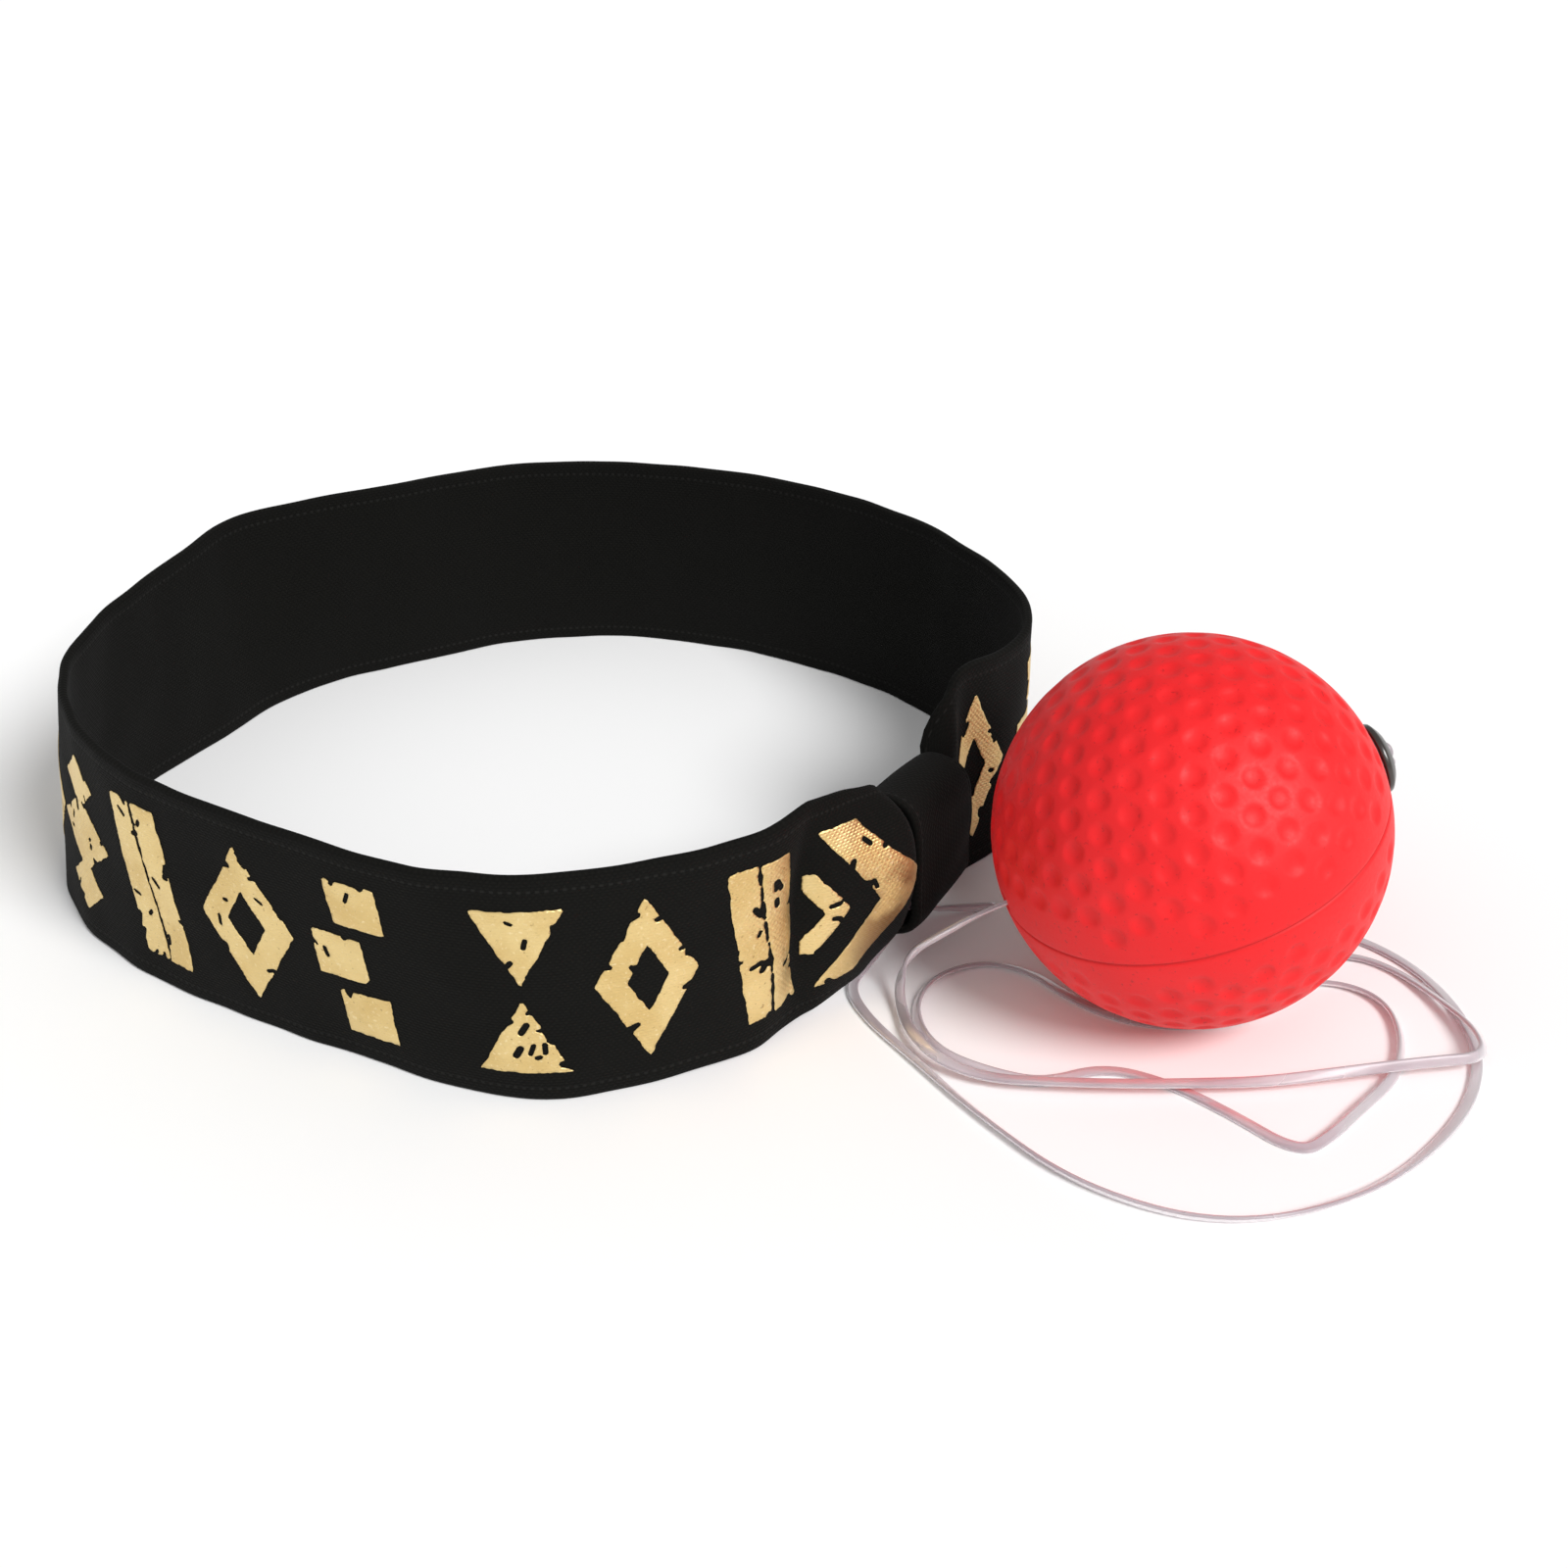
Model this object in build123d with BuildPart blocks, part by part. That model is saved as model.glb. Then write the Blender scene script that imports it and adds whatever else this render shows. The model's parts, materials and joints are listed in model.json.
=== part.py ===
"""Reflex ball headband: an elastic strap loop, a foam ball on an elastic cord, and the knot that joins them.

Millimetres, +Z up. The strap stands on its lower edge on the plane Z = 0, and the ball rests on it.
The origin is under the middle of the strap and ball.
"""
from build123d import *
import math
import os

# ---------------------------------------------------------------- driving sizes
strap_height = 40.0
strap_thickness = 1.5

ball_diameter = 61.0
bore_diameter = 2.2

cord_diameter = 1.6  # round section of the same area as the flat 2.0 x 0.9 elastic
running_gap = 0.3  # between curved faces of parts that move

pinched_height = 22.0  # one strap end, folded narrow inside the wrap
pinched_thickness = 2.6
pinched_corner = 0.9
lap_gap = 0.3  # between the two lapped ends

wrap_length = 20.0
wrap_thickness = 1.5
wrap_slit = 5.2  # opening between the wrap's two ends, on its underside
wrap_clearance = 0.1

print_height = 29.0
print_thickness = 0.12
print_gap = 0.02  # keeps the print's own solid off the strap's
motif_width = 17.0
motif_pitch = 21.5
motifs_in_group = 4
group_gap = 6.0

stopper_diameter = 12.0
stopper_dome = 2.4  # height of the dome over the ball
stopper_rim = 1.0
knot_pocket_diameter = 5.0

# ---------------------------------------------------------------- places
ball_centre = Vector(76.0, -45.5, ball_diameter / 2)
bore_axis = Vector(0.9326, 0.1937, 0.3045).normalized()  # towards the stopper
waist_centre = Vector(33.7, -29.5, strap_height / 2)
waist_axis = Vector(0.5, 0.866, 0).normalized()  # along the pinched strap, away from the viewer

# middle of the strap's thickness, seen from above: clockwise from the knot, along the front,
# round the left and the back to the knot again
loop_points = [
    (19.2, -49.0), (9.2, -60.0), (-5.8, -67.5), (-25.3, -71.5), (-43.3, -66.0), (-68.3, -53.5),
    (-86.3, -42.5), (-100.3, -27.5), (-106.8, -5.5), (-102.3, 21.0), (-96.3, 37.5), (-89.3, 49.5),
    (-79.3, 55.5), (-57.8, 66.0), (-39.3, 73.5), (-19.8, 75.0), (9.7, 67.5), (35.2, 50.5),
    (50.7, 30.0), (56.2, 6.5), (49.2, -5.5), (41.2, -13.0),
]

# the cord's free run: from its knot under the strap, one wide loop, a turn behind the ball, a small
# inner loop, under the ball, a sharp bend, back over itself and up into the ball
floor_z = cord_diameter / 2
over_z = 2.8  # over another run of the cord
cord_mouth = ball_centre - bore_axis * (ball_diameter / 2)
cord_bore_entry = 5.0  # how far the free run reaches into the bore
cord_points = [
    (32.8, -31.1, 5.1), (30.7, -35.0, 3.4), (27.7, -40.0, 1.6), (24.2, -45.0, floor_z),
    (24.7, -52.5, floor_z), (31.2, -64.0, floor_z), (41.7, -79.5, floor_z), (55.7, -95.0, floor_z),
    (75.7, -102.0, floor_z), (98.2, -95.5, floor_z), (114.2, -79.5, floor_z), (120.7, -64.0, floor_z),
    (121.2, -52.5, floor_z), (117.7, -42.0, floor_z), (111.2, -33.0, floor_z), (102.7, -29.0, floor_z),
    (94.7, -31.5, floor_z), (91.7, -39.0, floor_z), (96.7, -44.5, floor_z), (104.7, -44.5, floor_z),
    (110.7, -49.0, floor_z), (110.2, -59.0, floor_z), (106.7, -68.5, floor_z), (99.7, -76.0, floor_z),
    (94.2, -82.5, floor_z), (87.2, -84.5, floor_z), (79.7, -77.5, floor_z), (71.7, -68.5, floor_z),
    (60.7, -64.5, floor_z), (48.7, -66.5, floor_z), (40.2, -65.0, floor_z), (36.2, -58.5, floor_z),
    (36.2, -49.5, floor_z), (42.2, -42.0, floor_z), (50.7, -41.0, floor_z), (58.7, -47.0, floor_z),
    (65.2, -55.0, floor_z), (75.2, -58.5, floor_z), (85.7, -56.0, 1.2), (92.7, -50.0, over_z),
    (98.2, -43.0, over_z), (102.7, -37.5, 1.4), (108.7, -37.5, floor_z), (113.2, -43.0, floor_z),
    (117.2, -51.5, floor_z), (118.7, -59.0, floor_z), (115.2, -65.0, 1.2), (108.2, -66.5, over_z),
    (98.7, -68.0, over_z), (86.7, -69.5, 2.2), (75.7, -70.5, over_z), (64.7, -71.5, over_z),
    (53.7, -71.5, 1.0), (43.7, -70.5, floor_z), (36.7, -66.5, floor_z), (33.2, -59.0, floor_z),
    (31.3, -52.6, floor_z), (30.3, -48.3, 4.0), (31.7, -47.8, 9.6), (36.2, -50.6, 15.6),
    cord_mouth - bore_axis * 4.0,
    cord_mouth + bore_axis * cord_bore_entry,
]
tail_points = [(34.6, -27.9, 5.1), (37.7, -26.2, 2.8), (42.2, -24.2, 0.9), (49.2, -23.5, floor_z)]


# ---------------------------------------------------------------- helpers
with BuildLine() as loop_line:
    Spline(*loop_points)
loop = loop_line.edge()


def beside_loop(fraction, distance):
    """A point of the plan, that far outside the middle of the strap's thickness."""
    point = loop.position_at(fraction)
    along = loop.tangent_at(fraction)
    outward = Vector(-along.Y, along.X, 0).normalized()
    return point + outward * distance


def strip_outline(start, end, near, far, stations):
    """The plan outline of a strip that follows the strap from one length fraction to another."""
    steps = [start + (end - start) * i / stations for i in range(stations + 1)]
    near_side = [beside_loop(step, near) for step in steps]
    far_side = [beside_loop(step, far) for step in steps]
    Spline(*near_side)
    Line(near_side[-1], far_side[-1])
    Spline(*reversed(far_side))
    Line(far_side[0], near_side[0])


def waist_plane(along, across=0.0):
    """The plane across the pinched strap, that far along it and outward; x is inward and y is up."""
    outward = waist_axis.cross(Vector(0, 0, 1))
    centre = waist_centre + waist_axis * along + outward * across
    return Plane(origin=centre, x_dir=-outward, z_dir=waist_axis)


def strap_end_plane(fraction):
    """The plane across the strap at one of its ends, at mid height; x is outward and y is up."""
    along = loop.tangent_at(fraction)
    outward = Vector(-along.Y, along.X, 0).normalized()
    point = loop.position_at(fraction)
    return Plane(
        origin=Vector(point.X, point.Y, strap_height / 2), x_dir=outward, z_dir=outward.cross(Vector(0, 0, 1))
    )


def corner_radii(points):
    """The largest arc that fits each corner of a cord's route: 0.45 of the shorter run beside it."""
    places = [Vector(*point) if isinstance(point, tuple) else point for point in points]
    radii = []
    for before, corner, after in zip(places, places[1:], places[2:]):
        run_in = corner - before
        run_out = after - corner
        half_turn = math.radians(run_in.get_angle(run_out)) / 2
        radii.append(0.45 * min(run_in.length, run_out.length) / math.tan(half_turn))
    return radii


def report_tube(name, line, solid):
    """Prints a cord's length and how near its volume is to its section times its length."""
    section = math.pi * cord_diameter**2 / 4
    print(f"{name}: length {line.length:.1f}, volume ratio {solid.volume / (section * line.length):.4f}")


# ---------------------------------------------------------------- strap
lap_offset = (pinched_thickness + lap_gap) / 2
lap_start = -wrap_length / 2 - 1.5
lap_end = wrap_length / 2 + 1.5

with BuildPart() as headband_strap:
    with BuildSketch():
        with BuildLine():
            strip_outline(0, 1, -strap_thickness / 2, strap_thickness / 2, 120)
        make_face()
    extrude(amount=strap_height)
    # left end: folds narrow and runs through the wrap on its inner side
    with BuildSketch(strap_end_plane(0)):
        Rectangle(strap_thickness, strap_height)
    with BuildSketch(waist_plane(lap_start, -lap_offset)):
        Rectangle(pinched_thickness, pinched_height)
    loft()
    with BuildSketch(waist_plane(lap_start, -lap_offset)):
        RectangleRounded(pinched_thickness, pinched_height, pinched_corner)
    extrude(amount=wrap_length)
    # right end: the same, on the outer side
    with BuildSketch(waist_plane(lap_end, lap_offset)):
        Rectangle(pinched_thickness, pinched_height)
    with BuildSketch(strap_end_plane(1)):
        Rectangle(strap_thickness, strap_height)
    loft()
    with BuildSketch(waist_plane(lap_end, lap_offset)):
        RectangleRounded(pinched_thickness, pinched_height, pinched_corner)
    extrude(amount=-wrap_length)
headband_strap.part.label = "headband_strap"

# ---------------------------------------------------------------- foil print on the strap's outer face
group_length = motifs_in_group * motif_pitch + group_gap
motif_starts = [
    group * group_length + motif * motif_pitch + 1.0
    for group in range(int(loop.length // group_length) + 1)
    for motif in range(motifs_in_group)
]

with BuildPart() as foil_print:
    for motif_start in motif_starts:
        if motif_start + motif_width < loop.length:
            with BuildSketch(Plane.XY.offset((strap_height - print_height) / 2)):
                with BuildLine():
                    strip_outline(
                        motif_start / loop.length,
                        (motif_start + motif_width) / loop.length,
                        strap_thickness / 2 + print_gap,
                        strap_thickness / 2 + print_thickness,
                        10,
                    )
                make_face()
            extrude(amount=print_height)
foil_print.part.label = "foil_print"

# ---------------------------------------------------------------- cord round the pinched strap
loop_half_width = lap_offset + pinched_thickness / 2 + cord_diameter / 2 + wrap_clearance
loop_half_height = (pinched_height + cord_diameter) / 2 + wrap_clearance
loop_corner = pinched_corner + cord_diameter / 2 + wrap_clearance

with BuildPart() as cord_waist_loop:
    with BuildLine(waist_plane(0)) as waist_path:
        FilletPolyline(
            (-loop_half_width, -loop_half_height),
            (loop_half_width, -loop_half_height),
            (loop_half_width, loop_half_height),
            (-loop_half_width, loop_half_height),
            radius=loop_corner,
            close=True,
        )
    with BuildSketch(Plane(waist_path.line @ 0, z_dir=waist_path.line % 0)):
        Circle(cord_diameter / 2)
    sweep(path=waist_path.line)
cord_waist_loop.part.label = "cord_waist_loop"

# ---------------------------------------------------------------- wrap and its seam
wrap_inner_width = 2 * (loop_half_width + cord_diameter / 2 + wrap_clearance)
wrap_inner_height = 2 * (loop_half_height + cord_diameter / 2 + wrap_clearance)
wrap_outer_width = wrap_inner_width + 2 * wrap_thickness
wrap_outer_height = wrap_inner_height + 2 * wrap_thickness
wrap_inner_corner = loop_corner + cord_diameter / 2 + wrap_clearance

with BuildPart() as knot_wrap:
    with BuildSketch(waist_plane(-wrap_length / 2)):
        RectangleRounded(wrap_outer_width, wrap_outer_height, wrap_inner_corner + wrap_thickness)
        RectangleRounded(wrap_inner_width, wrap_inner_height, wrap_inner_corner, mode=Mode.SUBTRACT)
        with Locations((0, -wrap_outer_height / 2)):
            Rectangle(wrap_slit, 3 * wrap_thickness, mode=Mode.SUBTRACT)
    extrude(amount=wrap_length)
knot_wrap.part.label = "knot_wrap"

thread_thickness = 0.5
stitch_span = 9.0
stitch_places = [-8.5, -6.5, -4.5, 4.5, 6.5, 8.5]  # either side of the cord's knot

with BuildPart() as wrap_seam_stitches:
    for place in stitch_places:
        with BuildSketch(waist_plane(place)):
            RectangleRounded(
                wrap_outer_width + 2 * thread_thickness,
                wrap_outer_height + 2 * thread_thickness,
                wrap_inner_corner + wrap_thickness + thread_thickness,
            )
            RectangleRounded(
                wrap_outer_width, wrap_outer_height, wrap_inner_corner + wrap_thickness, mode=Mode.SUBTRACT
            )
            with Locations((0, -wrap_outer_height / 2)):
                Rectangle(stitch_span, wrap_outer_height / 2, mode=Mode.INTERSECT)
        extrude(amount=thread_thickness)
wrap_seam_stitches.part.label = "wrap_seam_stitches"

lap_stitch_diameter = 0.8
lap_stitch_length = 2 * pinched_thickness + lap_gap

with BuildPart() as lap_seam_stitches:
    for along in (-5.0, 5.0):
        for up in (-7.0, 0.0, 7.0):
            stitch_plane = waist_plane(along, lap_stitch_length / 2)
            start = stitch_plane.origin + Vector(0, 0, up)
            with BuildSketch(Plane(origin=start, z_dir=stitch_plane.x_dir)):
                Circle(lap_stitch_diameter / 2)
            extrude(amount=lap_stitch_length)
lap_seam_stitches.part.label = "lap_seam_stitches"

# ---------------------------------------------------------------- cord: knot, tail and free run
anchor_knot_radius = 2.1
anchor_knot_length = 3.6
anchor_knot_up = waist_centre.Z - loop_half_height - cord_diameter / 2 - anchor_knot_radius

anchor_knot_drop = anchor_knot_up - waist_centre.Z
anchor_plane = Plane(
    origin=waist_centre + Vector(0, 0, anchor_knot_drop),
    x_dir=waist_plane(0).x_dir,
    z_dir=waist_axis,
)

with BuildPart() as cord_anchor_knot:
    with BuildSketch(anchor_plane.offset(-anchor_knot_length / 2)):
        Circle(anchor_knot_radius)
    extrude(amount=anchor_knot_length)
    fillet(cord_anchor_knot.edges().filter_by(GeomType.CIRCLE), 1.1)
cord_anchor_knot.part.label = "cord_anchor_knot"


def cord_tube(points):
    """A round tube along straight runs joined by tangent arcs; returns its line and its part."""
    radii = corner_radii(points)
    with BuildPart() as tube:
        with BuildLine() as path:
            FilletPolyline(*points, radius=radii)
        with BuildSketch(Plane(path.line @ 0, z_dir=path.line % 0)):
            Circle(cord_diameter / 2)
        sweep(path=path.line)
    print("radii:", [round(radius, 1) for radius in radii])
    return path.wire(), tube.part


free_line, cord_free_run = cord_tube(cord_points)
cord_free_run.label = "cord_free_run"
report_tube("cord_free_run", free_line, cord_free_run)

tail_line, cord_tail = cord_tube(tail_points)
cord_tail.label = "cord_tail"
report_tube("cord_tail", tail_line, cord_tail)

# ---------------------------------------------------------------- ball
bore_plane = Plane(origin=ball_centre, z_dir=bore_axis)

with BuildPart() as foam_ball:
    with Locations(ball_centre):
        Sphere(ball_diameter / 2)
    with BuildSketch(bore_plane.offset(-ball_diameter / 2 - 1)):
        Circle(bore_diameter / 2)
    extrude(amount=ball_diameter + 2, mode=Mode.SUBTRACT)
foam_ball.part.label = "foam_ball"

# ---------------------------------------------------------------- stopper, end knot and the cord in the ball
# the disc is turned about the bore axis: profile x is the radius, y the distance from the ball's centre
seat_radius = ball_diameter / 2 + running_gap
dome_top = ball_diameter / 2 + stopper_dome
rim_radius = stopper_diameter / 2
rim_seat = math.sqrt(seat_radius**2 - rim_radius**2)
rim_top = rim_seat + stopper_rim
disc_hole = bore_diameter / 2
hole_seat = math.sqrt(seat_radius**2 - disc_hole**2)
pocket_floor = seat_radius + 0.9
pocket_radius = knot_pocket_diameter / 2
pocket_top = dome_top - 0.35  # height of the dome at the pocket's edge
profile_plane = Plane(origin=ball_centre, x_dir=bore_plane.x_dir, z_dir=bore_plane.x_dir.cross(bore_axis))
turning_axis = Axis(ball_centre, bore_axis)

with BuildPart() as stopper_disc:
    with BuildSketch(profile_plane):
        with BuildLine():
            ThreePointArc(
                (disc_hole, hole_seat),
                (rim_radius / 2, math.sqrt(seat_radius**2 - (rim_radius / 2) ** 2)),
                (rim_radius, rim_seat),
            )
            Line((rim_radius, rim_seat), (rim_radius, rim_top))
            ThreePointArc(
                (rim_radius, rim_top),
                ((rim_radius + pocket_radius) / 2 + 0.4, (rim_top + pocket_top) / 2 + 0.35),
                (pocket_radius, pocket_top),
            )
            Line((pocket_radius, pocket_top), (pocket_radius, pocket_floor))
            Line((pocket_radius, pocket_floor), (disc_hole, pocket_floor))
            Line((disc_hole, pocket_floor), (disc_hole, hole_seat))
        make_face()
    revolve(axis=turning_axis)
stopper_disc.part.label = "stopper_disc"

end_knot_radius = pocket_radius - running_gap
end_knot_height = 2.4
end_knot_base = pocket_floor + running_gap

with BuildPart() as cord_end_knot:
    with BuildSketch(bore_plane.offset(end_knot_base)):
        Circle(end_knot_radius)
    extrude(amount=end_knot_height)
    fillet(cord_end_knot.edges().filter_by(GeomType.CIRCLE), 0.9)
cord_end_knot.part.label = "cord_end_knot"

inner_start = -ball_diameter / 2 + cord_bore_entry + running_gap
with BuildPart() as cord_in_ball:
    with BuildSketch(bore_plane.offset(inner_start)):
        Circle(cord_diameter / 2)
    extrude(amount=end_knot_base - inner_start)
cord_in_ball.part.label = "cord_in_ball"

# ---------------------------------------------------------------- export
pieces = [
    headband_strap.part,
    foil_print.part,
    lap_seam_stitches.part,
    knot_wrap.part,
    wrap_seam_stitches.part,
    cord_waist_loop.part,
    cord_anchor_knot.part,
    cord_free_run,
    cord_tail,
    foam_ball.part,
    cord_in_ball.part,
    cord_end_knot.part,
    stopper_disc.part,
]

os.makedirs("parts", exist_ok=True)
for piece in pieces:
    export_step(piece, f"parts/{piece.label}.step")
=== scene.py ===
"""Reflex ball headband: webbing strap, foil print, wrap, foam ball, stopper and flat clear cord.

Lengths in the lists are millimetres in the row frame, as in the part's source. Blender gets metres.
"""

import json
import math
import random

import bmesh
import bpy
import numpy as np
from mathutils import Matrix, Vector, noise


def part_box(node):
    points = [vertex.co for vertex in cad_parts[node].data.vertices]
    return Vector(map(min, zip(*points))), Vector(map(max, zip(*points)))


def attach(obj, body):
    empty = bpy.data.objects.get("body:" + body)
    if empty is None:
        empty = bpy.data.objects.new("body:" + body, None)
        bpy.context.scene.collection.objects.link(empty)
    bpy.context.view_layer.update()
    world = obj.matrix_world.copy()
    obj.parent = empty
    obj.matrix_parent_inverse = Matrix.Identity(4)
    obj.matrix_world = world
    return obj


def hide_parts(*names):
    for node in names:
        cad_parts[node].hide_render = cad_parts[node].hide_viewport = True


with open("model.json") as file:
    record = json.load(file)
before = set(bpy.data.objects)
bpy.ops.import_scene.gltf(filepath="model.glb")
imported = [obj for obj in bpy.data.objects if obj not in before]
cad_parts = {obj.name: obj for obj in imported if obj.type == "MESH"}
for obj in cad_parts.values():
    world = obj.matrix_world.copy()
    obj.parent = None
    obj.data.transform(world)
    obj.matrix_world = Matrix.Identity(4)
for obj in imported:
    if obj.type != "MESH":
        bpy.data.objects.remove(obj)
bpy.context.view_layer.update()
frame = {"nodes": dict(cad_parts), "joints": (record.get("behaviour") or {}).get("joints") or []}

MM = 0.001
UP = Vector((0, 0, 1))

# ---------------- places taken from the frame, in millimetres
joint_of = {joint["name"]: joint for joint in frame["joints"]}
bore_axis = Vector(joint_of["ball_spin"]["axis"]).normalized()
ball_centre = Vector(joint_of["ball_spin"]["pos_m"]) / MM
ball_low, ball_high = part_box("foam_ball")
ball_radius = (ball_high.z - ball_low.z) / 2 / MM
wrap_low, wrap_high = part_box("knot_wrap")
strap_low, strap_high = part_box("headband_strap")
strap_height = (strap_high.z - strap_low.z) / MM
waist_centre = (wrap_low + wrap_high) / 2 / MM
waist_centre.z = strap_height / 2
waist_axis = Vector((0.5, 0.866, 0)).normalized()
waist_out = waist_axis.cross(UP)

# ---------------- sizes
strap_thickness = 1.5
wrap_width = 20.0
cord_width = 1.8
cord_thickness = 0.8
bore_radius = 1.1

# the strap's plan, close to the one in the part's source: x, y, and how far its lower and its upper
# edge lean out of it
strap_plan = [
    (9.2, -60.0, -0.1, 0.8), (-5.8, -67.5, 0.5, 0.7), (-25.3, -71.5, 1.0, 0.6), (-43.3, -66.0, 0.2, 2.2),
    (-68.3, -53.5, 0.4, 1.6), (-86.3, -42.5, 0.6, 0.6), (-100.3, -27.5, 2.6, -0.8),
    (-107.5, -5.5, 4.2, -1.2), (-102.3, 21.0, 0.8, -1.0), (-96.3, 37.5, -2.6, -1.0),
    (-89.3, 49.5, -3.0, 0.2), (-79.3, 55.5, 0.0, 0.2), (-57.8, 66.0, 1.4, 0.2), (-39.3, 73.5, 1.6, 0.0),
    (-19.8, 75.0, 1.6, -0.6), (9.7, 67.5, 0.9, -0.2), (35.2, 50.5, 0.5, 0.2), (50.7, 30.0, 0.2, -0.5),
    (56.2, 6.5, 0.0, -0.6), (49.2, -5.5, 0.6, -0.1),
]

# the strap's left end from inside the wrap to the plan: lower edge, low, middle, high and upper edge;
# each is (along the waist, outward of it, up)
left_fold = [
    [(8.0, -1.45, 9.8), (8.0, -1.45, 14.2), (8.0, -1.45, 18.9), (8.0, -1.45, 23.5), (8.0, -1.45, 28.0)],
    [(-6.5, -1.45, 9.8), (-6.5, -1.4, 14.2), (-6.5, -1.4, 18.9), (-6.5, -1.4, 23.5), (-6.5, -1.45, 28.0)],
    [(-10.2, -0.9, 8.8), (-10.2, 0.9, 13.0), (-10.2, 1.4, 20.0), (-10.2, 0.6, 26.4), (-10.2, -1.4, 29.6)],
    [(-11.3, 1.2, 6.6), (-11.0, 4.5, 11.4), (-10.9, 5.5, 21.4), (-11.0, 3.6, 28.8), (-11.2, -0.8, 32.6)],
    [(-12.9, 1.0, 5.6), (-12.6, 5.1, 11.0), (-12.4, 7.0, 22.0), (-12.6, 5.0, 30.4), (-12.2, -0.6, 34.6)],
    [(-16.6, 0.9, 3.8), (-16.6, 4.2, 11.0), (-16.6, 6.4, 21.2), (-16.4, 4.4, 31.0), (-15.2, -0.6, 36.6)],
    [(-22.0, -0.7, 2.4), (-22.4, 1.6, 10.8), (-22.6, 2.6, 20.8), (-22.2, 1.4, 30.6), (-20.6, -1.6, 38.4)],
    [(-27.4, -2.6, 1.0), (-28.0, -2.2, 10.4), (-28.0, -1.7, 20.4), (-27.4, -2.0, 30.2), (-26.4, -2.5, 39.6)],
    [(-30.0, -3.6, 0.6), (-31.2, -4.7, 10.2), (-30.9, -5.0, 20.2), (-30.0, -4.6, 30.0), (-29.6, -3.2, 39.9)],
    [(-33.6, -4.9, 0.1), (-33.9, -4.6, 10.0), (-33.6, -4.4, 20.0), (-33.4, -4.2, 30.0), (-33.4, -3.8, 40.0)],
]

# the strap's right end from the plan to inside the wrap, the same way
right_fold = [
    [(18.4, -0.8, 0.2), (18.2, -0.7, 10.2), (18.0, -0.9, 20.2), (18.1, -1.2, 30.0), (18.6, -1.5, 39.6)],
    [(15.2, -0.2, 1.2), (14.8, 1.0, 10.4), (14.4, 1.3, 20.0), (14.7, 0.3, 29.0), (15.6, -2.6, 35.8)],
    [(12.9, 0.8, 3.6), (12.5, 2.4, 11.2), (12.2, 2.8, 20.0), (12.3, 0.7, 27.4), (13.2, -4.2, 31.0)],
    [(10.8, -1.6, 8.6), (10.6, 3.0, 12.4), (10.5, 3.5, 19.6), (10.5, 1.6, 25.2), (10.9, -3.4, 26.8)],
    [(9.0, -0.6, 9.4), (9.0, 2.5, 13.2), (9.0, 2.8, 19.4), (9.0, 1.8, 24.2), (9.2, -0.6, 26.6)],
    [(6.5, 1.45, 9.8), (6.5, 1.5, 14.2), (6.5, 1.5, 18.9), (6.5, 1.5, 23.5), (6.5, 1.45, 28.0)],
    [(-8.0, 1.45, 9.8), (-8.0, 1.45, 14.2), (-8.0, 1.45, 18.9), (-8.0, 1.45, 23.5), (-8.0, 1.45, 28.0)],
]

# the wrap's section round the pinched strap, from one side of its seam to the other, as
# (outward, up from the waist's middle)
wrap_section = [
    (-2.9, -13.5), (-4.3, -11.9), (-4.8, -6.5), (-4.8, 0.0), (-4.6, 5.5), (-3.8, 10.2), (-1.6, 12.9),
    (1.8, 13.6), (4.7, 12.0), (6.2, 6.5), (6.5, 0.0), (6.3, -6.5), (5.0, -12.0), (2.7, -14.0),
]

# the cord's free run: the points of the part's source, some of them moved by a few millimetres; the cord's
# middle is over_z up where it crosses another strand, and floor_z up where a point gives no height
floor_z = 0.8
over_z = 2.8
cord_mouth = ball_centre - bore_axis * ball_radius
cord_run = [
    (32.8, -31.1, 5.1), (30.7, -35.0, 3.4), (27.2, -40.0, 1.6), (23.8, -45.5), (26.6, -53.6),
    (33.2, -63.4), (42.0, -76.8), (55.5, -93.4), (75.7, -101.8), (98.2, -94.3), (114.4, -78.5),
    (121.0, -64.3), (120.8, -52.2), (117.3, -41.6), (110.8, -33.4), (102.7, -29.0), (94.7, -31.5),
    (91.7, -39.0), (95.7, -44.7), (103.4, -44.7), (109.6, -49.6), (110.2, -58.8), (107.0, -68.4),
    (99.7, -75.9), (94.1, -82.0), (88.6, -85.9), (80.0, -76.6), (71.6, -69.4), (62.4, -65.8),
    (53.0, -70.0), (44.7, -67.4), (37.9, -63.2), (34.6, -57.0), (34.4, -49.3), (38.6, -42.3),
    (46.4, -38.8), (53.9, -41.4), (59.0, -48.0), (66.0, -53.6), (75.2, -55.8), (85.2, -54.8, 1.2),
    (92.7, -50.0, over_z), (98.2, -43.0, over_z), (102.7, -37.5, 1.4), (108.7, -37.5), (114.1, -42.0),
    (118.3, -50.6, 1.6), (121.2, -59.6, over_z), (120.8, -66.4, over_z), (112.4, -67.4, over_z),
    (98.7, -69.8, over_z), (86.7, -71.4, 2.4), (75.7, -72.1, over_z), (64.7, -72.2, over_z),
    (53.7, -71.7, over_z), (43.7, -70.1, 2.2), (36.8, -66.2, over_z), (33.3, -59.4, 2.4),
    (32.1, -52.8, 1.4), (31.8, -47.8, 3.4), (33.5, -46.9, 8.8), (38.2, -50.2, 14.6),
    tuple(cord_mouth - bore_axis * 4.0),
    tuple(cord_mouth + bore_axis * 5.0),
]
cord_points = [point if len(point) == 3 else (*point, floor_z) for point in cord_run]
tail_points = [(34.6, -27.9, 5.1), (37.7, -26.2, 2.8), (42.2, -24.2, 0.9), (49.2, -23.5, floor_z)]


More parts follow.
